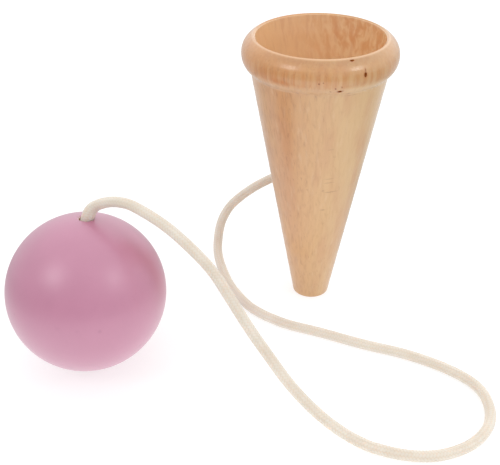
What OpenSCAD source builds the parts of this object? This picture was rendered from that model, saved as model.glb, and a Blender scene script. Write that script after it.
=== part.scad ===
// Cup and ball toy: a turned wooden cone cup, a painted wooden ball and the cord that ties them together.
// The cup stands on its foot at the origin, mouth up. The ball and the loose cord lie on the same surface.

/* [Cup] */
// Height of the cup, from the foot to the crest of the lip
cup_h = 114.4; // [95:0.2:135]
// Diameter of the flat foot
foot_d = 15; // [11:0.5:24]
// Width of the broken edge round the foot
foot_break = 0.5; // [0.2:0.1:1.5]
// Diameter of the rim at its widest
rim_d = 59.4; // [56:0.2:66]
// Radius of the rim's rounded section
rim_r = 7.4; // [6:0.1:9]
// How far the rim stands proud of the cone's line, at the middle of the rim
rim_proud = 2.3; // [1.2:0.1:3.2]
// Radius of the cove between the cone and the rim
cove_r = 2; // [0.6:0.1:3]
// Diameter of the mouth at the top of the inner wall
mouth_d = 49; // [44:0.2:52]
// Width of the bevel from the inner wall up to the crest of the lip
lip_w = 0.7; // [0.3:0.1:1.4]
// Drop of that bevel
lip_drop = 0.5; // [0.2:0.1:1]

/* [Hollow] */
// Height of the hollow's lowest point above the foot
hollow_floor = 36; // [28:0.5:50]
// Radius of the hollow's round bottom
hollow_r = 10; // [8:0.2:11.5]

/* [Ball] */
// Diameter of the ball
ball_d = 60; // [50:0.5:70]
// Middle of the ball along X, from the cup's axis
ball_x = -88; // [-120:0.5:-70]
// Middle of the ball along Y, from the cup's axis
ball_y = -45; // [-90:0.5:0]
// Lean of the ball's bore away from upright
bore_lean = 9; // [0:1:30]
// Compass turn of that lean
bore_turn = 65; // [0:5:355]
// Width of the broken edge of the bore
bore_break = 0.6; // [0.2:0.1:1.2]
// Wood left over the knot, from the end of the knot to the ball's surface
pocket_cover = 2.1; // [1:0.1:5]

/* [Cord] */
// Diameter of the braided cord
cord_d = 4; // [3:0.1:4.6]
// Room for the cord in a drilled hole, on the diameter
hole_room = 1.2; // [0.6:0.1:2]
// Compass turn of the hole through the cup's wall
hole_turn = 120; // [60:5:150]
// Diameter of each stopper knot
knot_d = 9.6; // [8.4:0.1:10.8]
// Gap between a knot and the wood that stops it
knot_gap = 0.3; // [0.1:0.05:0.6]
// Room round the ball's knot in its pocket, on the diameter
pocket_room = 2.4; // [1:0.1:4]
// Straight cord standing out of each hole
stub_out = 1.2; // [0.5:0.1:3]

/* [Hidden] */
$fn = 96;
// How far a cut reaches past the surface that it starts from
past = 1;

WOOD = [0.86, 0.69, 0.51];
LILAC = [0.77, 0.54, 0.64];
COTTON = [0.94, 0.89, 0.78];

// The cup's profile: the rim's section is a circle, and the cone's line runs up inside it
foot_r = foot_d / 2;
mouth_r = mouth_d / 2;
crest_r = mouth_r + lip_w;
rim_mid_r = rim_d / 2 - rim_r;
rim_mid_z = cup_h - sqrt(pow(rim_r, 2) - pow(crest_r - rim_mid_r, 2));
cone_mid_r = rim_d / 2 - rim_proud;
cone_k = (cone_mid_r - foot_r) / rim_mid_z;
cone_n = sqrt(1 + pow(cone_k, 2));
function cone_r(z) = foot_r + cone_k * z;

// The cove's circle touches the cone's line and the rim's circle from outside
cove_side = cone_mid_r + cove_r * cone_n - rim_mid_r;
cove_reach = rim_r + cove_r;
cove_root = sqrt(pow(cove_side * cone_k, 2) - pow(cone_n, 2) * (pow(cove_side, 2) - pow(cove_reach, 2)));
cove_z = rim_mid_z - (cove_side * cone_k + cove_root) / pow(cone_n, 2);
cove_mid = [cone_r(cove_z) + cove_r * cone_n, cove_z];
cove_on_cone = cove_mid - cove_r / cone_n * [1, -cone_k];
cove_on_rim = cove_mid + cove_r / cove_reach * ([rim_mid_r, rim_mid_z] - cove_mid);

// The hollow: a straight wall that runs tangent into a round bottom
mouth_z = cup_h - lip_drop;
hollow_mid_z = hollow_floor + hollow_r;
hollow_slant = norm([mouth_r, mouth_z - hollow_mid_z]);
hollow_turn = atan2(mouth_z - hollow_mid_z, mouth_r) - acos(hollow_r / hollow_slant);
hollow_tangent = [hollow_r * cos(hollow_turn), hollow_mid_z + hollow_r * sin(hollow_turn)];

// The cord leaves the cup level, at the widest of the round bottom, and the ball along its bore
cord_r = cord_d / 2;
hole_d = cord_d + hole_room;
hole_z = hollow_mid_z;
hole_dir = [cos(hole_turn), sin(hole_turn), 0];
cup_stub_end = cone_r(hole_z) + stub_out;
ball_r = ball_d / 2;
ball_mid = [ball_x, ball_y, ball_r];
bore_dir = [sin(bore_lean) * cos(bore_turn), sin(bore_lean) * sin(bore_turn), cos(bore_lean)];
ball_stub_end = ball_r + stub_out;
pocket_d = knot_d + pocket_room;
pocket_floor = ball_r - knot_d - knot_gap - pocket_cover;

// The loose cord's route, by hand: down behind the cup, along the floor in front of it, round the
// loop, up and over to the top of the ball
ROUTE = [
    [-11, 19, 45.5], [-15, 22, 43], [-20, 23, 40], [-25.5, 23, 36.5], [-31, 23, 32], [-35.5, 23, 27],
    [-39, 22.5, 20], [-40.5, 20, 13], [-40.5, 15, 7.5], [-38, 7, 3.5], [-33.5, -4.5, 2], [-25.5, -18, 2],
    [-13, -28, 2], [2, -34.5, 2], [18.5, -42, 2], [35, -48.5, 2], [49, -57, 2], [58, -66.5, 2],
    [60.5, -77, 2], [58, -88, 2], [50, -97, 2], [38.5, -102, 2], [27, -102, 2], [16, -98.5, 2],
    [5.5, -94, 5], [-4, -89, 10.5], [-12.5, -83.5, 17.5], [-19.5, -78.5, 25.5], [-26.5, -74, 34.5],
    [-33, -69, 43.5], [-39.5, -64, 52], [-48, -58.5, 59], [-57, -52.5, 64], [-67, -47.5, 68],
    [-72.5, -45, 68.5], [-78, -42.5, 67], [-83, -41, 64],
];
CORD_SIDES = 10;
RINGS_PER_POINT = 2;

cord_start = [0, 0, hole_z] + cup_stub_end * hole_dir;
cord_end = ball_mid + ball_stub_end * bore_dir;
cord_points = concat([cord_start - cord_d * hole_dir, cord_start], ROUTE,
                     [cord_end, cord_end - cord_d * bore_dir]);
last_ring = RINGS_PER_POINT * (len(cord_points) - 3);

function unit(v) = v / norm(v);
// A smooth curve through the points: t runs from 0 to 1 between b and c
function through(a, b, c, d, t) =
    b + t / 2 * (c - a) + pow(t, 2) / 2 * (2 * a - 5 * b + 4 * c - d)
      + pow(t, 3) / 2 * (3 * b - 3 * c + d - a);
function on_floor(p) = [p.x, p.y, max(p.z, cord_r)];
function along(ring) =
    let (i = min(floor(ring / RINGS_PER_POINT), len(cord_points) - 4), t = ring / RINGS_PER_POINT - i)
    on_floor(through(cord_points[i], cord_points[i + 1], cord_points[i + 2], cord_points[i + 3], t));
function heading(mids, i) =
    i == 0 ? hole_dir : i == last_ring ? -bore_dir : unit(mids[i + 1] - mids[i - 1]);
function square_to(v, dir) = unit(v - (v * dir) * dir);

// A round tube along a list of middle points, with one ring of corners at each
module tube(mids) {
    last = len(mids) - 1;
    dirs = [for (i = [0:last]) heading(mids, i)];
    sides = [for (i = 0, s = square_to([0, 0, 1], dirs[0]); i <= last;
                  i = i + 1, s = square_to(s, dirs[min(i, last)])) s];
    corners = [for (i = [0:last], k = [0:CORD_SIDES - 1])
        let (a = 360 * k / CORD_SIDES)
        mids[i] + cord_r * (cos(a) * sides[i] + sin(a) * cross(dirs[i], sides[i]))];
    walls = [for (i = [0:last - 1], k = [0:CORD_SIDES - 1])
        let (a = i * CORD_SIDES + k, b = i * CORD_SIDES + (k + 1) % CORD_SIDES)
        each [[a, a + CORD_SIDES, b], [b, a + CORD_SIDES, b + CORD_SIDES]]];
    start_cap = [for (k = [0:CORD_SIDES - 1]) k];
    end_cap = [for (k = [CORD_SIDES - 1:-1:0]) last * CORD_SIDES + k];
    polyhedron(corners, concat(walls, [start_cap, end_cap]), convexity = 10);
}

// Half section of the solid cup, before it is hollowed
module cup_section() {
    polygon([[0, 0], [foot_r - foot_break, 0], [cone_r(foot_break), foot_break],
             [cone_mid_r, rim_mid_z], [0, rim_mid_z]]);
    translate([rim_mid_r, rim_mid_z])
        circle(r = rim_r);
    difference() {
        polygon([cove_on_cone, cove_mid, cove_on_rim, [rim_mid_r, rim_mid_z]]);
        translate(cove_mid)
            circle(r = cove_r);
    }
}

// Half section of the hollow, open at the mouth and bevelled at the lip
module hollow_section() {
    intersection() {
        translate([0, hollow_mid_z])
            circle(r = hollow_r);
        translate([0, hollow_floor])
            square([hollow_r, 2 * hollow_r]);
    }
    polygon([[0, hollow_tangent.y], hollow_tangent, [mouth_r, mouth_z], [crest_r, cup_h],
             [crest_r + lip_w, cup_h + lip_drop], [crest_r + lip_w, cup_h + rim_r], [0, cup_h + rim_r]]);
}

// Places its children on the cup's cord hole: the hole runs along local Z, out of the cup's axis
module at_cup_hole() {
    translate([0, 0, hole_z])
        rotate([0, 90, hole_turn])
            children();
}

// Places its children on the ball's bore: local Z leaves the ball where the cord does
module at_ball_bore() {
    translate(ball_mid)
        rotate([0, bore_lean, bore_turn])
            children();
}

// A stopper knot at local height mid, with straight cord running up from it to local height end
module knot(mid, end) {
    translate([0, 0, mid]) {
        sphere(d = knot_d);
        cylinder(d = cord_d, h = end - mid);
    }
}

module cup() {
    color(WOOD)
    difference() {
        rotate_extrude()
            difference() {
                cup_section();
                hollow_section();
            }
        at_cup_hole()
            cylinder(d = hole_d, h = rim_d);
    }
}

module ball() {
    color(LILAC)
    difference() {
        translate(ball_mid)
            sphere(d = ball_d);
        at_ball_bore() {
            cylinder(d = hole_d, h = ball_d + 2 * past, center = true);
            translate([0, 0, -ball_r - past])
                cylinder(d = pocket_d, h = ball_r + past - pocket_floor);
            translate([0, 0, ball_r - bore_break])
                cylinder(d1 = hole_d, d2 = hole_d + 2 * (bore_break + past), h = bore_break + past);
        }
    }
}

module cord() {
    color(COTTON)
        tube([for (ring = [0:last_ring]) along(ring)]);
}

module cup_knot() {
    color(COTTON)
        at_cup_hole()
            knot(hollow_r - knot_gap - knot_d / 2, cup_stub_end);
}

module ball_knot() {
    color(COTTON)
        at_ball_bore()
            knot(-pocket_floor - knot_gap - knot_d / 2, ball_stub_end);
}

cup();
ball();
cord();
cup_knot();
ball_knot();
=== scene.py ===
"""Looks of the cup and ball toy: a turned and varnished wooden cup, a painted wooden ball and a braided
cotton cord."""

import math

import bpy
import numpy as np
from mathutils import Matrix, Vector


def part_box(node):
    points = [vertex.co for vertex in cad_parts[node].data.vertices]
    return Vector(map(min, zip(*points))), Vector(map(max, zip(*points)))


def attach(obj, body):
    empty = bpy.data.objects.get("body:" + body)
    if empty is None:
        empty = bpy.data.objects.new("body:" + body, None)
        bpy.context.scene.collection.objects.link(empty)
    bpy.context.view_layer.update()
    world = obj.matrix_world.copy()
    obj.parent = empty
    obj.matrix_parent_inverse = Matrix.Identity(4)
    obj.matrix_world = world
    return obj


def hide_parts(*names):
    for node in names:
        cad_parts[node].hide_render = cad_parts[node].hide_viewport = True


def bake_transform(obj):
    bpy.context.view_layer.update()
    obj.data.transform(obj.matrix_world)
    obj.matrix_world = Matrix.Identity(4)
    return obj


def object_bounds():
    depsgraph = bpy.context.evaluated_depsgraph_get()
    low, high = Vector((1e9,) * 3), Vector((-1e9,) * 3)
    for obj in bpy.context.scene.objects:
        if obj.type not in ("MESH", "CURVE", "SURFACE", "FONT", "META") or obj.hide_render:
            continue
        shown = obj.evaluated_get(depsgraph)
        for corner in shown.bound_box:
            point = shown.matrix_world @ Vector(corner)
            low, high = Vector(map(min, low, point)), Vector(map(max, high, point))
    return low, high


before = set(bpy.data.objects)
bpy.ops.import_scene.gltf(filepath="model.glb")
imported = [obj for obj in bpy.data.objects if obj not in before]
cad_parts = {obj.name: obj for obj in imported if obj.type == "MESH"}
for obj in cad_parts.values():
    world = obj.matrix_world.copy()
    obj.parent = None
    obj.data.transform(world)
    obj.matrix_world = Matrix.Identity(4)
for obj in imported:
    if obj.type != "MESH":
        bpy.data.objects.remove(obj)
cad_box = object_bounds()

MM = 0.001

# The cup's driving sizes, as in the part's source
CUP_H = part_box("cup")[1].z
RIM_MAX_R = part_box("cup")[1].x
FOOT_R = 7.5 * MM
FOOT_BREAK = 0.5 * MM
RIM_R = 7.4 * MM
RIM_PROUD = 2.3 * MM
COVE_R = 2.0 * MM
MOUTH_R = 24.5 * MM
LIP_W = 0.7 * MM
LIP_DROP = 0.5 * MM
HOLLOW_FLOOR = 36.0 * MM
HOLLOW_R = 10.0 * MM

# The ball's driving sizes
BALL_R = 30.0 * MM
BALL_MID = np.array([-88.0, -45.0, 30.0]) * MM
BORE_LEAN = math.radians(9)
BORE_TURN = math.radians(65)
BORE_BREAK = 0.6 * MM
POCKET_R = 6.0 * MM
POCKET_FLOOR = 18.0 * MM

# The cord and its holes
CORD_D = 4.0 * MM
HOLE_R = 2.6 * MM
HOLE_TURN = math.radians(120)
HOLE_Z = HOLLOW_FLOOR + HOLLOW_R
HOLE_ON_AXIS = np.array([0, 0, HOLE_Z])
HOLE_DIR = np.array([math.cos(HOLE_TURN), math.sin(HOLE_TURN), 0.0])
BORE_DIR = np.array([
    math.sin(BORE_LEAN) * math.cos(BORE_TURN),
    math.sin(BORE_LEAN) * math.sin(BORE_TURN),
    math.cos(BORE_LEAN),
])
STUB_OUT = 1.2 * MM

# The loose cord's route: down behind the cup, along the floor in front of it, round the loop, up and
# over to the top of the ball
ROUTE = [
    (-0.011, 0.019, 0.0455), (-0.015, 0.022, 0.043), (-0.020, 0.023, 0.040),
    (-0.0255, 0.023, 0.0365), (-0.031, 0.023, 0.032), (-0.0355, 0.023, 0.027),
    (-0.039, 0.0225, 0.020), (-0.0405, 0.020, 0.013), (-0.0405, 0.015, 0.0075),
    (-0.038, 0.007, 0.0035), (-0.0335, -0.0045, 0.002), (-0.0255, -0.018, 0.002),
    (-0.013, -0.028, 0.002), (0.002, -0.0345, 0.002), (0.0185, -0.042, 0.002),
    (0.035, -0.0485, 0.002), (0.049, -0.057, 0.002), (0.058, -0.0665, 0.002),
    (0.0605, -0.077, 0.002), (0.058, -0.088, 0.002), (0.050, -0.097, 0.002),
    (0.0385, -0.102, 0.002), (0.027, -0.102, 0.002), (0.016, -0.0985, 0.002),
    (0.0055, -0.094, 0.005), (-0.004, -0.089, 0.0105), (-0.0125, -0.0835, 0.0175),
    (-0.0195, -0.0785, 0.0255), (-0.0265, -0.074, 0.0345), (-0.033, -0.069, 0.0435),
    (-0.0395, -0.064, 0.052), (-0.048, -0.0585, 0.059), (-0.057, -0.0525, 0.064),
    (-0.067, -0.0475, 0.068), (-0.0725, -0.045, 0.0685), (-0.078, -0.0425, 0.067),
    (-0.083, -0.041, 0.064),
]


# Helpers

def unit(v):
    return v / np.linalg.norm(v, axis=-1, keepdims=True)


def smooth_step(low, high, x):
    """0 up to low, 1 from high on, and a smooth rise between them."""
    t = np.clip((x - low) / (high - low), 0, 1)
    return t * t * (3 - 2 * t)


def round_turns(sides):
    """The angles of a full circle's corners."""
    return 2 * math.pi * np.arange(sides) / sides


def line(a, b, step):
    """Points from a to b, b left out, about step apart."""
    start = np.array(a)
    way = np.array(b) - start
    count = max(1, round(float(np.linalg.norm(way)) / step))
    return [start + way * i / count for i in range(count)]


def arc(mid, radius, start, end, step):
    """Points on an arc from angle start to angle end, the last left out, about step apart."""
    count = max(2, round(abs(end - start) * radius / step))
    turns = [start + (end - start) * i / count for i in range(count)]
    return [np.array(mid) + radius * np.array([math.cos(t), math.sin(t)]) for t in turns]


def angle_of(mid, p):
    return math.atan2(p[1] - mid[1], p[0] - mid[0])


def add_object(name, data):
    obj = bpy.data.objects.new(name, data)
    bpy.context.scene.collection.objects.link(obj)
    return obj


def quads_between(rings, sides, wrap_rings=False):
    """Corner numbers of the quads over a grid of closed rings."""
    last = rings if wrap_rings else rings - 1
    i, k = np.meshgrid(np.arange(last), np.arange(sides), indexing="ij")
    a = i * sides + k
    b = i * sides + (k + 1) % sides
    up = ((i + 1) % rings - i) * sides
    return np.stack([a, b, b + up, a + up], axis=-1).reshape(-1, 4).tolist()


def capped_quads(rings, sides):
    """Corner numbers of the faces over closed rings: quads between them, and a flat cap at both ends."""
    last = (rings - 1) * sides
    first_cap = list(range(sides))[::-1]
    last_cap = list(range(last, last + sides))
    return quads_between(rings, sides) + [first_cap, last_cap]


def shade(mesh, sharp_deg=None):
    """Shades the mesh smooth, with edges sharper than sharp_deg kept as edges."""
    mesh.shade_smooth()
    if sharp_deg:
        mesh.set_sharp_from_angle(angle=math.radians(sharp_deg))


def mesh_of(name, points, faces, sharp_deg=None):
    """A smooth-shaded mesh, with edges sharper than sharp_deg kept as edges."""
    mesh = bpy.data.meshes.new(name)
    mesh.from_pydata(np.asarray(points).reshape(-1, 3).tolist(), [], faces)
    mesh.update()
    shade(mesh, sharp_deg)
    return mesh


def give_values(mesh, name, values):
    """Stores a number at each corner point of the mesh, for its material to read."""
    attribute = mesh.attributes.new(name, "FLOAT", "POINT")
    attribute.data.foreach_set("value", np.asarray(values, np.float32))


def points_of(mesh):
    co = np.zeros(len(mesh.vertices) * 3, np.float32)
    mesh.vertices.foreach_get("co", co)
    return co.reshape(-1, 3).astype(float)


def put_points(mesh, points):
    mesh.vertices.foreach_set("co", np.asarray(points, np.float32).ravel())
    mesh.update()


# Camera, at the photograph's viewing angle, found from the ball's and the cup's outlines

LENS = 65.46
SENSOR_W = 36.0
CLIP_START = 0.01
CAMERA_AT = (-26.305 * MM, -325.44 * MM, 229.18 * MM)
CAMERA_TILT = math.radians(58.291)


def make_camera():
    data = bpy.data.cameras.new("camera")
    data.lens = LENS
    data.sensor_width = SENSOR_W
    data.clip_start = CLIP_START
    camera = add_object("camera", data)
    camera.location = CAMERA_AT
    camera.rotation_euler = (CAMERA_TILT, 0, 0)
    bpy.context.scene.camera = camera


# Cup

CUP_SIDES = 192
CUP_STEP = 0.45 * MM
LIP_STEP = 0.15 * MM
CUP_SHARP_DEG = 40
# The section stops just short of the axis, where flat caps close the foot and the hollow: at this radius
# on the foot, and at this angle from straight down in the hollow's round bottom
FOOT_CAP_R = 0.4 * MM
HOLLOW_CAP_TURN = 0.04
MOUTH_Z = CUP_H - LIP_DROP
CREST = np.array([MOUTH_R + LIP_W, CUP_H])
RIM_MID_R = RIM_MAX_R - RIM_R
RIM_MID = np.array([RIM_MID_R, CUP_H - math.sqrt(RIM_R ** 2 - (CREST[0] - RIM_MID_R) ** 2)])
# For each metre of height: how much the cone's radius grows, and how long its slope is
CONE_K = (RIM_MAX_R - RIM_PROUD - FOOT_R) / RIM_MID[1]
CONE_N = math.sqrt(1 + CONE_K ** 2)

# Rings that the turning tool left: their depth and pitch, and how far they drift over what length
MARK_DEPTH = 0.012 * MM
MARK_PITCH = 1.3 * MM
MARK_DRIFT = 2.1
MARK_DRIFT_LENGTH = 17 * MM
# Wider waves under the rings: their depth in ring depths, their length and start, and how much of the
# rings' depth changes with them
WAVE_DEPTH = 1.6
WAVE_LENGTH = 7.3 * MM
WAVE_START = 0.8
MARK_FADE = 0.4

# Brown spots in the cup's wood: compass turn, height, half width and half height in mm, darkness.
# The darkest are small pits.
CUP_SPOTS = [
    (-61.4, 109.0, 0.55, 0.85, 1.0),
    (-61.1, 110.4, 0.26, 0.95, 0.6),
    (-69.5, 113.75, 0.80, 0.26, 1.0),
    (-94.5, 107.0, 0.22, 0.30, 0.7),
    (-91.5, 107.3, 0.20, 0.22, 0.5),
    (-82.9, 104.9, 0.24, 0.26, 0.8),
    (-78.6, 105.4, 0.26, 0.36, 0.5),
    (-79.5, 103.5, 0.80, 0.42, 1.0),
    (-77.6, 103.7, 0.40, 0.22, 0.6),
    (-86.2, 103.6, 0.30, 0.20, 0.4),
    (-71.5, 101.7, 0.60, 0.18, 0.35),
]
PIT_DARK = 0.9
PIT_DEPTH = 0.45 * MM
# Place of the pits' material among the cup's
PIT_SLOT = 1
# Faint level scratches on the cone, the same way
CUP_SCRATCHES = [
    (-78.3, 63.8, 1.5, 0.18, 0.4),
    (-77.7, 61.9, 1.8, 0.18, 0.4),
    (-74.0, 57.3, 2.2, 0.2, 0.55),
    (-84.0, 58.2, 0.5, 0.45, 0.45),
    (-67.8, 100.6, 2.4, 0.16, 0.4),
    (-82.0, 48.6, 0.8, 0.3, 0.5),
    (-80.0, 77.5, 1.0, 0.2, 0.3),
]

# Heights between which the wood takes on the tone of the rim, of the rim's top and the painted shade of
# the brow above it, and the most that it takes on of the top's
RIM_TONE = (CUP_H - 10.9 * MM, CUP_H - 8.4 * MM)
TOP_TONE = (CUP_H - 6.9 * MM, CUP_H - 2.9 * MM)
BROW_SHADE_HEIGHTS = (CUP_H - 3.1 * MM, CUP_H - 0.5 * MM)
TOP_SHARE = 0.65
# Distances from the middle of the lip over which its pale tone, worn wood and a painted highlight, ends
LIP_END = (0.7 * MM, 1.4 * MM)
# Places along +Y between which the brow's painted shade at the front ends, and the back, where the lip is
# not paled, begins
FRONT_END = (-25 * MM, -12 * MM)
BACK_START = (0, 20 * MM)
# A point this near the hollow's wall counts as on it
NEAR_WALL = 0.1 * MM


def cone_r(z):
    return FOOT_R + CONE_K * z


def cove():
    """Middle of the cove's circle, and the points where it touches the cone and the rim."""
    side = RIM_MAX_R - RIM_PROUD + COVE_R * CONE_N - RIM_MID[0]
    reach = RIM_R + COVE_R
    root = math.sqrt((side * CONE_K) ** 2 - CONE_N ** 2 * (side ** 2 - reach ** 2))
    z = RIM_MID[1] - (side * CONE_K + root) / CONE_N ** 2
    mid = np.array([cone_r(z) + COVE_R * CONE_N, z])
    on_cone = mid - COVE_R / CONE_N * np.array([1, -CONE_K])
    on_rim = mid + COVE_R / reach * (RIM_MID - mid)
    return mid, on_cone, on_rim


def hollow_tangent():
    """Where the hollow's straight wall runs into its round bottom, and the angle of that point."""
    slant = math.hypot(MOUTH_R, MOUTH_Z - HOLE_Z)
    turn = math.atan2(MOUTH_Z - HOLE_Z, MOUTH_R) - math.acos(HOLLOW_R / slant)
    return np.array([HOLLOW_R * math.cos(turn), HOLE_Z + HOLLOW_R * math.sin(turn)]), turn


def hollow_wall_r(z):
    """Radius of the hollow's straight wall at height z."""
    tangent, _ = hollow_tangent()
    return MOUTH_R + (z - MOUTH_Z) * (MOUTH_R - tangent[0]) / (MOUTH_Z - tangent[1])


def outer_r(z):
    """Radius of the cup's outside at height z."""
    mid, on_cone, on_rim = cove()
    if z > on_rim[1]:
        return RIM_MID[0] + math.sqrt(max(0, RIM_R ** 2 - (z - RIM_MID[1]) ** 2))
    if z > on_cone[1]:
        return mid[0] - math.sqrt(max(0, COVE_R ** 2 - (z - mid[1]) ** 2))
    return cone_r(z)


def on_cup(turn, z):
    """The point of the cup's outside at a compass turn in degrees and a height in mm."""
    a = math.radians(turn)
    r = outer_r(z * MM)
    return np.array([r * math.cos(a), r * math.sin(a), z * MM])


def cup_profile():
    """Half section of the cup from the middle of the foot, up the outside and down the hollow."""
    mid, on_cone, on_rim = cove()
    tangent, turn = hollow_tangent()
    foot_mid = np.array([FOOT_R - FOOT_BREAK, FOOT_BREAK])
    foot_top = foot_mid + FOOT_BREAK * unit(np.array([1, -CONE_K]))
    lip_low = np.array([MOUTH_R, MOUTH_Z])
    return np.array(
        line((FOOT_CAP_R, 0), (foot_mid[0], 0), CUP_STEP)
        + arc(foot_mid, FOOT_BREAK, -math.pi / 2, angle_of(foot_mid, foot_top), LIP_STEP)
        + line(foot_top, on_cone, CUP_STEP)
        + arc(mid, COVE_R, angle_of(mid, on_cone), angle_of(mid, on_rim), LIP_STEP * 2)
        + arc(RIM_MID, RIM_R, angle_of(RIM_MID, on_rim), angle_of(RIM_MID, CREST), LIP_STEP * 2)
        + line(CREST, lip_low, LIP_STEP)
        + line(lip_low, tangent, CUP_STEP)
        + arc((0, HOLE_Z), HOLLOW_R, turn, -math.pi / 2 + HOLLOW_CAP_TURN, CUP_STEP)
    )


def tool_marks(z):
    """Faint rings that the turning tool left, as a change of radius at height z."""
    drift = MARK_DRIFT * np.sin(2 * math.pi * z / MARK_DRIFT_LENGTH)
    rings = np.sin(2 * math.pi * z / MARK_PITCH + drift)
    wave = np.sin(2 * math.pi * z / WAVE_LENGTH + WAVE_START)
    return MARK_DEPTH * (rings * (1 - MARK_FADE + MARK_FADE * wave) + WAVE_DEPTH * wave)


def lathed_cup():
    """The cup as it comes off the lathe."""
    profile = cup_profile()
    profile[:, 0] += np.where(profile[:, 1] > FOOT_BREAK, tool_marks(profile[:, 1]), 0)
    turns = round_turns(CUP_SIDES)
    rings = np.stack([
        np.outer(profile[:, 0], np.cos(turns)),
        np.outer(profile[:, 0], np.sin(turns)),
        np.repeat(profile[:, 1:], CUP_SIDES, axis=1),
    ], axis=-1)
    return add_object("turned_cup", mesh_of("turned_cup", rings, capped_quads(len(profile), CUP_SIDES)))


def rod(name, start, end, radius, sides=48):
    """A closed round rod between two points."""
    axis = unit(end - start)
    off_axis = [0.3, 0.2, 1.0]
    side = unit(np.cross(axis, off_axis))
    turns = round_turns(sides)
    ring = radius * (np.outer(np.cos(turns), side) + np.outer(np.sin(turns), np.cross(axis, side)))
    return mesh_of(name, np.concatenate([start + ring, end + ring]), capped_quads(2, sides))


def oval(name, mid, radii, turn, sides=20, rings=9):
    """A closed oval with its radii along the compass direction turn, across it and upright."""
    rise = math.pi * (np.arange(rings) + 0.5) / rings - math.pi / 2
    turns = round_turns(sides)
    local = np.stack([
        np.outer(np.cos(rise), np.cos(turns)),
        np.outer(np.cos(rise), np.sin(turns)),
        np.repeat(np.sin(rise)[:, None], sides, axis=1),
    ], axis=-1) * radii
    axes = np.array([
        [math.cos(turn), math.sin(turn), 0],
        [-math.sin(turn), math.cos(turn), 0],
        [0, 0, 1],
    ])
    return mesh_of(name, mid + local @ axes, capped_quads(rings, sides))


def drill(obj, cutter_mesh, slot=0):
    """Cuts the closed cutter out of the object's mesh. The new faces take the material in that slot."""
    for material in obj.data.materials:
        cutter_mesh.materials.append(material)
    cutter_mesh.polygons.foreach_set("material_index", np.full(len(cutter_mesh.polygons), slot, np.int32))
    cutter = add_object("cutter", cutter_mesh)
    cut = obj.modifiers.new("drill", "BOOLEAN")
    cut.object = cutter
    cut.operation = "DIFFERENCE"
    cut.solver = "EXACT"
    cut_mesh = bpy.data.meshes.new_from_object(obj.evaluated_get(bpy.context.evaluated_depsgraph_get()))
    obj.modifiers.clear()
    obj.data = cut_mesh
    bpy.data.objects.remove(cutter)


def drill_cup(cup):
    """Makes the cord's hole, and a pit at each of the darkest spots."""
    drill(cup, rod("cup_hole", HOLE_ON_AXIS, HOLE_ON_AXIS + RIM_MAX_R * HOLE_DIR, HOLE_R))
    for turn, z, half_wide, half_high, dark in CUP_SPOTS:
        if dark >= PIT_DARK:
            radii = np.array([PIT_DEPTH, half_wide * MM, half_high * MM])
            drill(cup, oval("pit", on_cup(turn, z), radii, math.radians(turn)), slot=PIT_SLOT)
    shade(cup.data, CUP_SHARP_DEG)


def give_cup_tones(mesh):
    """Marks where the wood's tone differs: the hollow, the rim, its top, its brow with painted shade at
    the front, and its lip, worn and with a painted highlight.
    """
    co = points_of(mesh)
    r = np.hypot(co[:, 0], co[:, 1])
    y = co[:, 1]
    z = co[:, 2]
    within_mouth = (r < MOUTH_R + NEAR_WALL) & (z > HOLLOW_FLOOR - NEAR_WALL)
    in_hollow = within_mouth & (r < hollow_wall_r(z) + NEAR_WALL)
    outside = ~in_hollow
    from_lip = np.hypot(r - (MOUTH_R + LIP_W / 2), z - CUP_H)
    off_lip = smooth_step(*LIP_END, from_lip)
    at_front = 1 - smooth_step(*FRONT_END, y)
    at_back = smooth_step(*BACK_START, y)
    give_values(mesh, "hollow", in_hollow)
    give_values(mesh, "rim", smooth_step(*RIM_TONE, z) * outside)
    give_values(mesh, "top", TOP_SHARE * smooth_step(*TOP_TONE, z) * outside)
    # Painted shade on the brow at the front, just outside the lip
    give_values(mesh, "brow_painted_shade", smooth_step(*BROW_SHADE_HEIGHTS, z) * off_lip * at_front * outside)
    # The lip is paled as worn wood and as a painted highlight, left off at the back
    give_values(mesh, "lip", (1 - off_lip) * (1 - at_back))


def make_cup():
    cup = lathed_cup()
    cup.data.materials.append(varnished_wood())
    cup.data.materials.append(open_knot())
    drill_cup(cup)
    give_cup_tones(cup.data)
    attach(cup, "cup")
    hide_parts("cup")


# Ball

BALL_SIDES = 288
BALL_STEP = 0.6 * MM
EDGE_STEP = 0.12 * MM
BALL_SHARP_DEG = 50
POCKET_ROUND = 0.4 * MM
# Angle from the hole's edge over which the section has short steps
EDGE_TURN = 0.05
# Distances from the hole's edge over which the wear of the paint ends
WEAR_END = (0.3 * MM, 2.4 * MM)


def ball_profile():
    """Half section round the bore: over the outside from the hole's edge, into the pocket and up the bore.
    Returns the points and how many of them are painted."""
    edge_r = HOLE_R + BORE_BREAK
    top = math.pi / 2 - math.asin(edge_r / BALL_R)
    low = -math.pi / 2 + math.asin((POCKET_R + POCKET_ROUND) / BALL_R)
    throat = np.array([HOLE_R, BALL_R - BORE_BREAK])
    edge = np.array([edge_r, BALL_R * math.sin(top)])
    low_edge = np.array([BALL_R * math.cos(low), BALL_R * math.sin(low)])
    pocket_lip = np.array([POCKET_R, BALL_R * math.sin(low) + POCKET_ROUND])
    painted = (
        line(throat, edge, EDGE_STEP)
        + arc((0, 0), BALL_R, top, top - EDGE_TURN, EDGE_STEP * 2)
        + arc((0, 0), BALL_R, top - EDGE_TURN, low, BALL_STEP)
    )
    bare = (
        line(low_edge, pocket_lip, EDGE_STEP)
        + line(pocket_lip, (POCKET_R, -POCKET_FLOOR), BALL_STEP)
        + line((POCKET_R, -POCKET_FLOOR), (HOLE_R, -POCKET_FLOOR), BALL_STEP)
        + line((HOLE_R, -POCKET_FLOOR), throat, BALL_STEP)
    )
    return np.array(painted + bare), len(painted)


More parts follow.
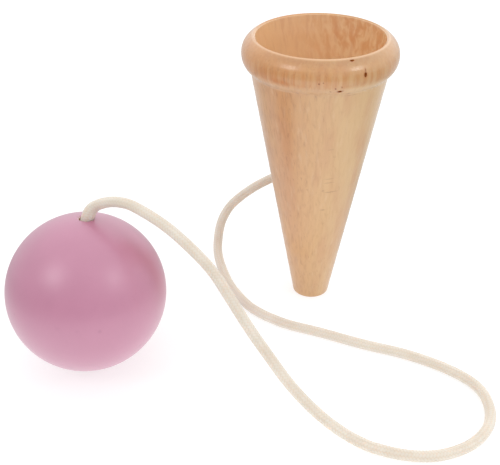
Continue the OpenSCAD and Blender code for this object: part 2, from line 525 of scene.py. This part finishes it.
def make_ball():
    profile, painted = ball_profile()
    side = unit(np.cross([0, 1.0, 0], BORE_DIR))
    other = np.cross(BORE_DIR, side)
    turns = round_turns(BALL_SIDES)
    spokes = np.outer(np.cos(turns), side) + np.outer(np.sin(turns), other)
    rings = BALL_MID + profile[:, :1, None] * spokes + profile[:, 1, None, None] * BORE_DIR
    faces = [face[::-1] for face in quads_between(len(profile), BALL_SIDES, wrap_rings=True)]
    ball = add_object("painted_ball", mesh_of("painted_ball", rings, faces, BALL_SHARP_DEG))
    is_bare = np.repeat(np.arange(len(profile)) >= painted, BALL_SIDES)
    ball.data.polygons.foreach_set("material_index", is_bare.astype(np.int32))
    ball.data.materials.append(lilac_paint())
    ball.data.materials.append(bare_wood())
    from_edge = np.repeat(np.hypot(profile[:, 0] - HOLE_R, profile[:, 1] - BALL_R), BALL_SIDES)
    give_values(ball.data, "wear", 1 - smooth_step(*WEAR_END, from_edge))
    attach(ball, "ball")
    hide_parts("ball")


# Cord

STRANDS = 8
STRAND_PITCH = 1.15 * MM
BRAID_DEPTH = 0.12 * MM
# The strands drift a little along the cord: by this share of their width, in waves 2 pi times this long
PITCH_DRIFT = 0.12
DRIFT_LENGTH = 9 * MM
# How much a strand falls off to its sides, and how far round it bends on its way over the others
STRAND_FALL = 0.85
STRAND_BEND = 0.92
CORD_SIDES = 56
CORD_STEP = 0.25 * MM
# Steps to a span of a curve through chosen points
DENSE = 24
# How far the cord goes into the cup's wall, from the outer end of its straight stub, and into the ball
INTO_CUP = 4.5 * MM
INTO_BALL = 8.0 * MM
BALL_MOUTH = BALL_MID + BALL_R * BORE_DIR
# Where the cord lies in the ball's bore, off its middle: at the mouth, half way in and at its end
OFF_BORE = np.array([(0.45, -0.55, 0.0), (-0.1, 0.0, 0.0), (-0.4, 0.1, 0.0)]) * MM
# The cord swells where it bends over the edge of the ball's hole: by this share, over this reach and
# most at this distance from the hole
MOUTH_BULGE = 0.24
BULGE_REACH = 3.5 * MM
BULGE_OUT = 2.0 * MM


def through(points, count):
    """A smooth curve through the points, from the second to the last but one, count steps to a span."""
    p = np.asarray(points, float)
    t = np.arange(count)[:, None] / count
    spans = [
        b + t / 2 * (c - a)
        + t ** 2 / 2 * (2 * a - 5 * b + 4 * c - d)
        + t ** 3 / 2 * (3 * b - 3 * c + d - a)
        for a, b, c, d in zip(p, p[1:], p[2:], p[3:])
    ]
    return np.concatenate([*spans, p[-2:-1]])


def evenly(curve, step):
    """The curve again, with points the same length apart, and the length at each."""
    run = np.concatenate([[0], np.cumsum(np.linalg.norm(np.diff(curve, axis=0), axis=1))])
    at = np.linspace(0, run[-1], round(run[-1] / step) + 1)
    return np.stack([np.interp(at, run, curve[:, i]) for i in range(3)], axis=1), at


def carried_frames(curve):
    """Two directions square to the curve at each point, carried along it without twist."""
    ahead = unit(np.gradient(curve, axis=0))
    off_axis = [0.31, 0.52, 0.8]
    side = unit(np.cross(ahead[0], off_axis))
    sides = []
    for a in ahead:
        side = unit(side - a * (side @ a))
        sides.append(side)
    sides = np.array(sides)
    return sides, np.cross(ahead, sides)


def braid(at, turns):
    """The braid's surface at length at and angle turns: height from 0 to 1, place across the strand that
    is on top from -0.5 to 0.5, and place along it. Each strand goes over two others and under two."""
    round_it = STRANDS * turns / (2 * math.pi)
    down_it = at / STRAND_PITCH + PITCH_DRIFT * np.sin(at / DRIFT_LENGTH)
    u = round_it - down_it
    v = round_it + down_it
    u_part = u - np.floor(u)
    v_part = v - np.floor(v)
    two_by_two = (np.floor(u) + np.floor(v)) % 4
    u_on_top = two_by_two < 2
    across = np.where(u_on_top, u_part, v_part) - 0.5
    along = np.where(u_on_top, two_by_two + v_part, two_by_two - 2 + u_part) / 2 - 0.5
    height = (1 - STRAND_FALL * (2 * across) ** 2) * np.cos(STRAND_BEND * math.pi * along)
    return height, across, np.where(u_on_top, v, u + 0.5)


def braided_tube(name, curve, radius_at):
    """A braided tube along a curve, closed by a flat cap at both ends. Returns it with its middle line and
    the length at each point of that."""
    mids, at = evenly(curve, CORD_STEP)
    sides, others = carried_frames(mids)
    turns = round_turns(CORD_SIDES)
    height, across, along = braid(at[:, None], turns[None, :])
    radius = radius_at(at)
    depth = BRAID_DEPTH * radius / (CORD_D / 2)
    reach = radius[:, None] - depth[:, None] * (1 - height)
    spokes = np.cos(turns)[None, :, None] * sides[:, None] + np.sin(turns)[None, :, None] * others[:, None]
    rings = mids[:, None] + reach[..., None] * spokes
    obj = add_object(name, mesh_of(name, rings, capped_quads(len(at), CORD_SIDES)))
    give_values(obj.data, "braid_height", height.ravel())
    give_values(obj.data, "braid_across", across.ravel())
    give_values(obj.data, "braid_along", along.ravel())
    return obj, mids, at


def cord_curve():
    """The free cord from inside the cup's wall to inside the ball's bore."""
    start = HOLE_ON_AXIS + (cone_r(HOLE_Z) + STUB_OUT) * HOLE_DIR
    depths = np.array([0, 0.5, 1])[:, None] * INTO_BALL
    in_bore = BALL_MOUTH - depths * BORE_DIR + OFF_BORE
    points = [start - CORD_D * HOLE_DIR, start, *ROUTE, *in_bore, in_bore[-1] - INTO_BALL * BORE_DIR]
    curve = through(points, DENSE)
    curve[:, 2] = np.maximum(curve[:, 2], CORD_D / 2)
    return np.concatenate([[start - INTO_CUP * HOLE_DIR], curve])


def cord_radius(at):
    """The cord's radius, which swells a little where it is bent over the edge of the ball's hole."""
    from_mouth = (at - at[-1] + INTO_BALL + BULGE_OUT) / BULGE_REACH
    return CORD_D / 2 * (1 + MOUTH_BULGE * np.exp(-from_mouth ** 2))


def make_cord():
    cord, mids, at = braided_tube("braided_cord", cord_curve(), cord_radius)
    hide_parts("cord")
    return cord, mids, at


def follow_ball(cord, at):
    """Lays the cord out straight along X by its length, bakes the object's place into that straight mesh,
    and puts its points back as they were laid."""
    as_laid = points_of(cord.data)
    straight = np.zeros_like(as_laid)
    straight[:, 0] = np.repeat(at, CORD_SIDES)
    put_points(cord.data, straight)
    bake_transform(cord)
    put_points(cord.data, as_laid)


# Knots

# The cord is squeezed to this diameter in a tight knot, and the tail springs back by this share
KNOT_CORD_D = 2.9 * MM
TAIL_SPRING = 0.6
# From the middle of a knot to its top, and from there to the hollow's wall and to the pocket's floor
KNOT_SEAT = 4.3 * MM
CUP_KNOT_GAP = 0.5 * MM
BALL_KNOT_GAP = 1.0 * MM
# The knot's shape, in diameters of the squeezed cord: how far its two inner strands lie from its middle,
# and the half width, half depth and half height of the turns round them
CORE = 0.45
WIDE = 1.4
DEEP = 1.0
RISE = 0.85
# Angles of those turns, in degrees
WRAP_START = 30
WRAP_END = 510
WRAP_STEP = 40
# Points along the tails, in the same diameters
CUP_TAIL = [(-0.45, 0, -1.6), (-0.2, 0.1, -2.5), (0.6, 0.25, -3.1), (1.7, 0.35, -3.2), (2.8, 0.3, -2.9)]
BALL_TAIL = [(-0.42, 0, -1.5), (-0.4, 0, -1.85), (-0.4, 0, -2.2)]


def overhand(lead, tail):
    """Middle line of a tight overhand knot, in cord diameters: down from lead above it, one and a third
    turns round both its own strands, down through them and out along the tail."""
    turns = np.radians(np.arange(WRAP_START, WRAP_END + 1, WRAP_STEP))
    climb = np.linspace(-RISE, RISE, len(turns))
    wrap = np.stack([WIDE * np.cos(turns), -DEEP * np.sin(turns), climb], axis=1)
    above = [(0, 0, lead + 1), (0, 0, lead), (0.1, 0, 2.4)]
    down = [(CORE, 0, 1.0), (CORE, 0, -0.4), (0.75, 0, -1.2)]
    back = [(-0.85, 0, 1.3), (-CORE, 0, 0.5), (-CORE, 0, -0.7)]
    return np.concatenate([above, down, wrap, back, tail])


def make_knot(name, body, node, mid, out, wide_way, lead, tail):
    """One stopper knot: its middle, the direction of the cord out of it, about the direction of its width,
    the length of cord that leads to it, and its tail."""
    side = unit(wide_way - out * (wide_way @ out))
    axes = np.stack([side, np.cross(out, side), out])
    curve = mid + KNOT_CORD_D * through(overhand(lead / KNOT_CORD_D, tail), DENSE) @ axes

    def radius_at(at):
        squeezed = smooth_step(lead - 3 * CORD_D, lead - CORD_D, at)
        loose = smooth_step(at[-1] - 2 * CORD_D, at[-1], at)
        return (CORD_D - (CORD_D - KNOT_CORD_D) * squeezed * (1 - TAIL_SPRING * loose)) / 2

    knot, _, _ = braided_tube(name, curve, radius_at)
    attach(knot, body)
    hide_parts(node)
    return knot


def make_knots():
    wall = cone_r(HOLE_Z) + STUB_OUT - INTO_CUP
    seat = HOLLOW_R - CUP_KNOT_GAP - KNOT_SEAT
    cup_knot = make_knot(
        "tied_cup_knot", "cup", "cup_knot", HOLE_ON_AXIS + seat * HOLE_DIR, HOLE_DIR,
        np.array([0, 0, 1.0]), wall - seat, CUP_TAIL)
    depth = -POCKET_FLOOR - BALL_KNOT_GAP - KNOT_SEAT
    lead = BALL_R - INTO_BALL - depth
    ball_knot = make_knot(
        "tied_ball_knot", "cord_end", "ball_knot", BALL_MID + depth * BORE_DIR, BORE_DIR,
        np.array([1.0, 0, 0]), lead, BALL_TAIL)
    return cup_knot, ball_knot


# Shader nodes

# The Mix node's sockets for its share and its two colours, and the one that gives the mixed colour
MIX_SHARE = 0
MIX_A = 6
MIX_B = 7
MIX_RESULT = 2
# Rough edges of spots: scale of the noise, and how far it reaches
SHAKE_SCALE = 1.6 / MM
SHAKE_REACH = 0.7 * MM


def linear(c):
    """A screen value from 0 to 1 as linear light."""
    return c / 12.92 if c < 0.0404 else ((c + 0.055) / 1.055) ** 2.4


def srgb(r, g, b):
    """A colour written as it looks on a screen, from 0 to 255, as linear light."""
    return tuple(linear(c / 255) for c in (r, g, b)) + (1,)


class Nodes:
    """Adds shader nodes to a material or to the world, and links them."""

    def __init__(self, owner, shader="Principled BSDF"):
        owner.use_nodes = True
        self.owner = owner
        self.tree = owner.node_tree
        self.shader = self.tree.nodes[shader]
        self.shaken = None

    def add(self, kind, out=0, settings=None, **inputs):
        """One node. An input is a value or another node's output. It is named by its socket's name, with _
        for a space, or by i and its socket's number."""
        node = self.tree.nodes.new("ShaderNode" + kind)
        for key, value in (settings or {}).items():
            setattr(node, key, value)
        for key, value in inputs.items():
            self.put(node, int(key[1:]) if key[1:].isdigit() else key.replace("_", " "), value)
        return node.outputs[out]

    def put(self, node, key, value):
        if isinstance(value, bpy.types.NodeSocket):
            self.tree.links.new(value, node.inputs[key])
        else:
            node.inputs[key].default_value = value

    def surface(self, **inputs):
        for key, value in inputs.items():
            self.put(self.shader, key.replace("_", " "), value)

    def place(self):
        return self.add("TexCoord", out="Object")

    def along(self, axis):
        """The place along X, Y or Z."""
        return self.add("SeparateXYZ", out=axis, Vector=self.place())

    def value(self, name):
        """A number that give_values stored on the mesh."""
        return self.add("Attribute", out="Fac", settings={"attribute_name": name})

    def math(self, operation, a, b=0.0):
        return self.add("Math", settings={"operation": operation}, i0=a, i1=b)

    def times(self, a, b):
        return self.math("MULTIPLY", a, b)

    def vector(self, operation, out=0, **inputs):
        return self.add("VectorMath", out=out, settings={"operation": operation}, **inputs)

    def ramp(self, low, high, value, to_low=0.0, to_high=1.0):
        """A smooth step from to_low, where the value is low, to to_high, where it is high."""
        return self.add("MapRange", settings={"interpolation_type": "SMOOTHSTEP"}, Value=value,
                        From_Min=low, From_Max=high, To_Min=to_low, To_Max=to_high)

    def mix(self, share, a, b, how="MIX"):
        """Colour a with share of colour b."""
        node = self.tree.nodes.new("ShaderNodeMix")
        node.data_type = "RGBA"
        node.blend_type = how
        self.put(node, MIX_SHARE, share)
        self.put(node, MIX_A, a)
        self.put(node, MIX_B, b)
        return node.outputs[MIX_RESULT]

    def noise(self, scale, detail, **inputs):
        """Noise with the same grain in all directions."""
        return self.add("TexNoise", out="Fac", Vector=self.place(), Scale=scale, Detail=detail, **inputs)

    def grain(self, width, length, detail=3.0, shift=0.0, distortion=0.0, slant=0.0):
        """Noise drawn out along the cup's height: width and length are the size of its grains."""
        leaning = self.add("Mapping", Vector=self.place(), Rotation=(0, slant, 0))
        stretched = self.add("Mapping", Vector=leaning, Location=(shift, shift, shift),
                             Scale=(1 / width, 1 / width, 1 / length))
        return self.add("TexNoise", out="Fac", Vector=stretched, Scale=1.0, Detail=detail, Roughness=0.55,
                        Distortion=distortion)

    def spot(self, at, turn, half_wide, half_high, soft):
        """1 inside an oval spot on an upright surface that faces turn, 0 outside it."""
        local = self.add("Mapping", settings={"vector_type": "TEXTURE"}, Vector=self.shaken_place(),
                         Location=at, Rotation=(0, 0, turn), Scale=(2 * half_wide, half_wide, half_high))
        off = self.vector("LENGTH", out="Value", i0=local)
        return self.ramp(1 - soft, 1 + soft, off, 1.0, 0.0)

    def shaken_place(self):
        """The object's place, shaken a little, so that spots have rough edges. It is made once."""
        if self.shaken is None:
            noise = self.add("TexNoise", out="Color", Vector=self.place(), Scale=SHAKE_SCALE, Detail=2.0)
            shift = self.vector("SUBTRACT", i0=noise, i1=(0.5, 0.5, 0.5))
            small = self.vector("SCALE", i0=shift, Scale=SHAKE_REACH)
            self.shaken = self.vector("ADD", i0=self.place(), i1=small)
        return self.shaken

    def bump(self, height, depth, strength=1.0):
        return self.add("Bump", Height=height, Distance=depth, Strength=strength)


# The cup's wood

# Heartwood tone, darker partly as painted shade on the cup's left side, -X
HEARTWOOD_AND_LEFT_SHADE = srgb(213, 160, 103)
SAPWOOD = srgb(219, 179, 126)
BROAD_TONE = srgb(208, 154, 106)
GROWTH_RING = srgb(186, 134, 90)
FIBRE = srgb(182, 128, 80)
FLECK = srgb(172, 116, 70)
PALE_STREAK = srgb(222, 184, 140)
# Worn pale wood at the lip, also a painted highlight
WORN_LIP_AND_HIGHLIGHT = srgb(236, 198, 158)
# Paler wood of the hollow, partly painted light over its shade
HOLLOW_WOOD_AND_PAINTED_LIGHT = srgb(238, 196, 148)
HOLLOW_STREAK = srgb(210, 152, 112)
HOLLOW_STAIN = srgb(212, 142, 82)
# Painted light deep in the hollow
DEEP_HOLLOW_PAINTED_LIGHT = srgb(244, 212, 166)
SCRATCH = srgb(168, 118, 78)
SPOT_EDGE = srgb(186, 108, 34)
SPOT = srgb(122, 62, 8)
OPEN_KNOT_PALE = srgb(170, 100, 46)
OPEN_KNOT_DARK = srgb(124, 62, 18)
# Tints of the rim, by which the wood's colour is multiplied; the brow's tint is painted shade
RIM_TINT = srgb(245, 220, 187)
SAP_RIM_TINT = srgb(243, 236, 231)
BROW_PAINTED_SHADE = srgb(233, 230, 223)
# Places along +X between which the wood turns from heart, darker partly as painted shade on the left, to
# sap, and the rim's sap side begins
SAP_START = (-15 * MM, 13 * MM)
SAP_RIM_START = (3 * MM, 12 * MM)
# Heights between which the painted light that pales the wood deep in the hollow ends
DEEP_LIGHT_END = (95 * MM, 110 * MM)
# How far the cup is shifted and leaned off the middle line of the wood's growth rings
RING_SHIFT = (0.055, 0.03, 0)
RING_LEAN = (0.05, -0.04, 0)


def marks(n, table, soft, grow=1.0):
    """The darkest of the marks in a table, at each place, each grown by a factor."""
    found = 0.0
    for turn, z, half_wide, half_high, dark in table:
        half_sizes = (grow * half_wide * MM, grow * half_high * MM)
        spot = n.spot(on_cup(turn, z), math.radians(turn), *half_sizes, soft)
        found = n.math("MAXIMUM", n.times(spot, dark), found)
    return found


def wood_grain(n, sap, fibres):
    """The wood's colours: heart and sap tone, with painted shade in the darker heart side, -X, broad tone,
    growth rings, fibres, short flecks and pale streaks. The grain is plain on the wood's sap side, +X, and
    livelier towards the heart side."""
    plain = n.times(n.math("MAXIMUM", sap, n.value("top")), 0.75)
    lively = n.math("SUBTRACT", 1.0, plain)
    # Heart to sap along +X: the darker heart side is partly painted shade
    colour = n.mix(sap, HEARTWOOD_AND_LEFT_SHADE, SAPWOOD)
    tone = n.grain(9 * MM, 60 * MM, detail=2)
    colour = n.mix(n.ramp(0.48, 0.68, tone, 0.0, 0.6), colour, BROAD_TONE)
    from_ring_mid = n.add("Mapping", Vector=n.place(), Location=RING_SHIFT, Rotation=RING_LEAN)
    rings = n.add("TexWave", out="Fac", settings={"wave_type": "RINGS", "rings_direction": "Z"},
                  Vector=from_ring_mid, Scale=95.0, Distortion=3.5, Detail=2.0, Detail_Scale=0.35)
    colour = n.mix(n.times(lively, n.ramp(0.55, 1.0, rings, 0.0, 0.14)), colour, GROWTH_RING)
    colour = n.mix(n.times(lively, n.ramp(0.45, 0.72, fibres, 0.0, 0.42)), colour, FIBRE)
    flecks = n.grain(0.8 * MM, 4.5 * MM, detail=2, shift=7.0, distortion=0.5, slant=0.12)
    colour = n.mix(n.times(lively, n.ramp(0.58, 0.74, flecks, 0.0, 0.48)), colour, FLECK)
    pale = n.grain(1.6 * MM, 22 * MM, detail=2, shift=11.0)
    return n.mix(n.ramp(0.55, 0.8, pale, 0.0, 0.45), colour, PALE_STREAK)


def rim_tones(n, colour):
    """The rim is darker in bands, and evenly so on its sap side; painted shade darkens its brow at the
    front.
    """
    bands = n.ramp(0.38, 0.62, n.grain(1.3 * MM, 30 * MM, shift=5.0), 0.25, 1.0)
    bands = n.ramp(0.0, 1.0, n.value("top"), bands, 0.55)
    colour = n.mix(n.times(n.value("rim"), bands), colour, RIM_TINT, "MULTIPLY")
    sap_rim = n.times(n.value("rim"), n.ramp(*SAP_RIM_START, n.along("X")))
    colour = n.mix(sap_rim, colour, SAP_RIM_TINT, "MULTIPLY")
    # Painted shade on the front of the brow
    return n.mix(n.value("brow_painted_shade"), colour, BROW_PAINTED_SHADE, "MULTIPLY")


def hollow_tones(n, colour, sap):
    """The hollow is warmer and paler, as unvarnished wood and as painted light that lifts its shade, with
    upright streaks, a stain on its sap side, and more painted light deep inside.
    """
    hollow = n.value("hollow")
    # Paler hollow: unvarnished wood, and painted light over the hollow's shade
    colour = n.mix(n.times(hollow, 0.75), colour, HOLLOW_WOOD_AND_PAINTED_LIGHT)
    streaks = n.ramp(0.45, 0.68, n.grain(2.0 * MM, 45 * MM, detail=3, shift=23.0), 0.0, 0.4)
    colour = n.mix(n.times(hollow, streaks), colour, HOLLOW_STREAK)
    burl = n.grain(2.4 * MM, 6 * MM, detail=2, shift=17.0, distortion=0.4, slant=0.3)
    stained = n.times(hollow, n.times(sap, n.ramp(0.34, 0.66, burl)))
    colour = n.mix(n.times(stained, 0.7), colour, HOLLOW_STAIN)
    # Painted light, paler deep inside the hollow
    deep_light = n.ramp(*DEEP_LIGHT_END, n.along("Z"), 0.3, 0.0)
    return n.mix(n.times(hollow, deep_light), colour, DEEP_HOLLOW_PAINTED_LIGHT)


def varnished_wood():
    """Pale close-grained hardwood, turned and varnished, with scratches and brown spots."""
    n = Nodes(bpy.data.materials.new("varnished_wood"))
    sap = n.ramp(*SAP_START, n.along("X"))
    fibres = n.grain(0.9 * MM, 14 * MM, detail=4, shift=3.0)
    colour = wood_grain(n, sap, fibres)
    colour = rim_tones(n, colour)
    colour = hollow_tones(n, colour, sap)
    # The lip's pale tone: worn wood and a painted highlight
    colour = n.mix(n.times(n.value("lip"), 0.5), colour, WORN_LIP_AND_HIGHLIGHT)
    spots = marks(n, CUP_SPOTS, 0.35)
    spot_edges = marks(n, CUP_SPOTS, 0.6, grow=1.5)
    colour = n.mix(marks(n, CUP_SCRATCHES, 0.9), colour, SCRATCH)
    colour = n.mix(n.times(spot_edges, 0.6), colour, SPOT_EDGE)
    colour = n.mix(spots, colour, SPOT)
    rough = n.math("ADD", n.ramp(0.3, 0.75, fibres, 0.34, 0.46), n.times(spots, 0.4))
    relief = n.math("SUBTRACT", n.times(fibres, -0.5), spots)
    n.surface(Base_Color=colour, Roughness=rough, Normal=n.bump(relief, 0.06 * MM, 0.6),
              Specular_IOR_Level=0.8, Coat_Weight=0.8, Coat_Roughness=0.22)
    return n.owner


def open_knot():
    """The brown, unvarnished wood of a small open knot."""
    n = Nodes(bpy.data.materials.new("open_knot"))
    crumbs = n.noise(2.4 / MM, 3.0)
    colour = n.mix(n.ramp(0.35, 0.65, crumbs), OPEN_KNOT_PALE, OPEN_KNOT_DARK)
    n.surface(Base_Color=colour, Roughness=0.9, Normal=n.bump(crumbs, 0.08 * MM), Specular_IOR_Level=0.1)
    return n.owner


# The ball's paint and the wood inside it

PAINT = srgb(187, 117, 147)
PAINT_PALE = srgb(190, 120, 150)
GRAIN_UNDER_PAINT = srgb(168, 102, 132)
DUST = srgb(150, 90, 118)
FAULT = srgb(150, 76, 110)
WORN_PAINT = srgb(226, 196, 178)
DRILLED_PALE = srgb(222, 186, 146)
DRILLED_DARK = srgb(190, 146, 104)
DRILL_CUT = srgb(160, 116, 80)
# Small faults in the ball's paint: place, half size in mm, depth of shade
PAINT_FAULTS = [
    ((-78.8, -73.4, 32.8), 0.55, 0.30),
    ((-86.4, -74.7, 33.7), 0.60, 0.10),
    ((-93.3, -74.2, 34.6), 0.70, 0.10),
    ((-110.5, -64.5, 33.6), 0.40, 0.35),
    ((-66.5, -63.0, 41.5), 0.25, 0.25),
    ((-97.0, -25.5, 51.0), 0.35, 0.35),
]
FAULT_SOFT = 0.9


def lilac_paint():
    """Satin paint on a wooden ball: slight mottle, orange peel, dust in the film, small faults, worn at
    the edge of the hole."""
    n = Nodes(bpy.data.materials.new("lilac_paint"))
    mottle = n.noise(0.09 / MM, 3.0, Roughness=0.6)
    colour = n.mix(n.ramp(0.3, 0.7, mottle), PAINT, PAINT_PALE)
    under = n.grain(0.8 * MM, 9 * MM, detail=3)
    colour = n.mix(n.ramp(0.5, 0.8, under, 0.0, 0.07), colour, GRAIN_UNDER_PAINT)
    dust = n.add("TexVoronoi", out="Distance", Vector=n.place(), Scale=0.14 / MM, Randomness=1.0)
    specks = n.ramp(0.03, 0.055, dust, 1.0, 0.0)
    colour = n.mix(n.times(specks, 0.25), colour, DUST)
    for at, half, dark in PAINT_FAULTS:
        place = np.array(at) * MM
        facing = angle_of(BALL_MID, place)
        fault = n.spot(place, facing, half * MM, half * MM, FAULT_SOFT)
        colour = n.mix(n.times(fault, dark), colour, FAULT)
    chips = n.noise(1.1 / MM, 4.0, Roughness=0.7)
    wear = n.math("ADD", n.times(n.value("wear"), 0.62), n.times(chips, 0.6))
    worn = n.ramp(0.86, 0.98, wear)
    colour = n.mix(n.times(worn, 0.8), colour, WORN_PAINT)
    peel = n.noise(0.9 / MM, 2.0)
    relief = n.math("ADD", n.times(peel, 0.25), n.math("SUBTRACT", specks, worn))
    rough = n.ramp(0.3, 0.7, mottle, 0.40, 0.44)
    n.surface(Base_Color=colour, Roughness=rough, Normal=n.bump(relief, 0.05 * MM, 0.5),
              Specular_IOR_Level=0.95, Coat_Weight=1.0, Coat_Roughness=0.39)
    return n.owner


def bare_wood():
    """Unpainted, drilled hardwood inside the ball."""
    n = Nodes(bpy.data.materials.new("bare_wood"))
    fibres = n.grain(0.5 * MM, 6 * MM, detail=4)
    cuts = n.noise(1.2 / MM, 3.0)
    colour = n.mix(n.ramp(0.35, 0.7, fibres), DRILLED_PALE, DRILLED_DARK)
    colour = n.mix(n.ramp(0.55, 0.75, cuts, 0.0, 0.35), colour, DRILL_CUT)
    n.surface(Base_Color=colour, Roughness=0.8, Normal=n.bump(cuts, 0.1 * MM))
    return n.owner


# The cord's cotton

YARN = srgb(220, 212, 200)
YARN_PALE = srgb(226, 220, 210)
YARN_FIBRE = srgb(222, 204, 178)
# Painted shade in the gaps between the braid's strands
STRAND_GAP_PAINTED_SHADE = srgb(208, 184, 154)
# Fibres side by side in the width of a strand
FIBRES_ACROSS = 9.0


def cotton():
    """Natural cotton yarn: fine fibres along each strand of the braid, shade between the strands, soft
    sheen."""
    n = Nodes(bpy.data.materials.new("cotton"))
    yarn = n.add("CombineXYZ", X=n.times(n.value("braid_across"), FIBRES_ACROSS), Y=n.value("braid_along"))
    fibres = n.add("TexNoise", out="Fac", Vector=yarn, Scale=1.0, Detail=4.0, Roughness=0.65)
    blotch = n.noise(0.12 / MM, 2.0)
    colour = n.mix(n.ramp(0.3, 0.7, blotch), YARN, YARN_PALE)
    colour = n.mix(n.ramp(0.35, 0.75, fibres, 0.0, 0.2), colour, YARN_FIBRE)
    # Painted shade where the braid dips between strands
    colour = n.mix(n.ramp(0.0, 0.55, n.value("braid_height"), 0.4, 0.0), colour, STRAND_GAP_PAINTED_SHADE)
    n.surface(Base_Color=colour, Roughness=0.85, Normal=n.bump(fibres, 0.08 * MM, 0.7), Sheen_Weight=0.15,
              Sheen_Roughness=0.4, Subsurface_Weight=0.85, Subsurface_Radius=(1.0, 0.9, 0.8),
              Subsurface_Scale=2.5 * MM)
    return n.owner


# Stage: floor, world and lights

WHITE = (1, 1, 1, 1)
# The light tent is open at the front: dim there, and bright overhead and at the back
TENT_DIM = 0.48
TENT_BRIGHT = 1.3
TENT_BRIGHT_WAY = Vector((0.30, 0.50, 0.81)).normalized()
TENT_DIM_AT = -0.6
# The floor is white to look at, and lights the object from a pool of light in front of it
FLOOR_HALF = 3.0
FLOOR_GREY = 0.45
FLOOR_GLOW = 0.64
POOL_GLOW = 0.82
POOL_MID = (-0.05, -0.165, 0)
POOL_INNER_R = 0.08
POOL_OUTER_R = 0.29
# Behind the object the floor is lit too, more and more between these two places along +Y
BACK_NEAR = 0.02
BACK_FAR = 0.14
BACK_GLOW = 0.3
# Each lamp: name, compass turn from the front (+ is right) and height in degrees, distance, size, watts
LAMPS = [
    ("left_lamp", -55, 41.5, 1.1, 0.34, 1.35),
    ("right_lamp", 60, 37, 0.60, 0.14, 0.28),
]


def make_floor():
    """A plain white floor, lit from below as a light table is, that keeps a trace of the object's
    shadow."""
    low = -FLOOR_HALF
    high = FLOOR_HALF
    corners = [(low, low, 0), (high, low, 0), (high, high, 0), (low, high, 0)]
    floor = add_object("floor", mesh_of("floor", corners, [[0, 1, 2, 3]]))
    n = Nodes(bpy.data.materials.new("white_floor"))
    from_pool = n.vector("DISTANCE", out="Value", i0=n.place(), i1=POOL_MID)
    pool = n.ramp(POOL_INNER_R, POOL_OUTER_R, from_pool, POOL_GLOW, 0.0)
    back = n.ramp(BACK_NEAR, BACK_FAR, n.along("Y"), 0.0, BACK_GLOW)
    glow = n.math("MAXIMUM", pool, back)
    seen = n.add("LightPath", out="Is Camera Ray")
    n.surface(Base_Color=(FLOOR_GREY, FLOOR_GREY, FLOOR_GREY, 1), Roughness=0.9, Specular_IOR_Level=0.0,
              Emission_Color=WHITE,
              Emission_Strength=n.add("MapRange", Value=seen, To_Min=glow, To_Max=FLOOR_GLOW))
    floor.data.materials.append(n.owner)


def make_world():
    """A white light tent, which looks plain white itself."""
    n = Nodes(bpy.data.worlds.new("light_tent"), "Background")
    way = n.add("TexCoord", out="Generated")
    to_bright = n.vector("DOT_PRODUCT", out="Value", i0=way, i1=TENT_BRIGHT_WAY)
    tent = n.add("MapRange", Value=to_bright, From_Min=TENT_DIM_AT, To_Min=TENT_DIM, To_Max=TENT_BRIGHT)
    seen = n.add("LightPath", out="Is Camera Ray")
    n.surface(Color=WHITE, Strength=n.add("MapRange", Value=seen, To_Min=tent, To_Max=1.0))
    bpy.context.scene.world = n.owner


def make_lamps():
    """Soft studio lamps, each turned to the middle of the object."""
    aim = (cad_box[0] + cad_box[1]) / 2
    for name, compass, height, distance, size, watts in LAMPS:
        data = bpy.data.lights.new(name, "AREA")
        data.size = size
        data.energy = watts
        a = math.radians(compass)
        e = math.radians(height)
        way = Vector((math.sin(a) * math.cos(e), -math.cos(a) * math.cos(e), math.sin(e)))
        lamp = add_object(name, data)
        lamp.location = aim + way * distance
        lamp.rotation_euler = way.to_track_quat("Z", "Y").to_euler()


# The scene

make_camera()
cord, cord_mids, cord_at = make_cord()
cup_knot, ball_knot = make_knots()
cotton_material = cotton()
for piece in (cord, cup_knot, ball_knot):
    piece.data.materials.append(cotton_material)
follow_ball(cord, cord_at)

make_cup()
make_ball()

make_floor()
make_world()
make_lamps()
bpy.context.scene.view_settings.view_transform = "Standard"
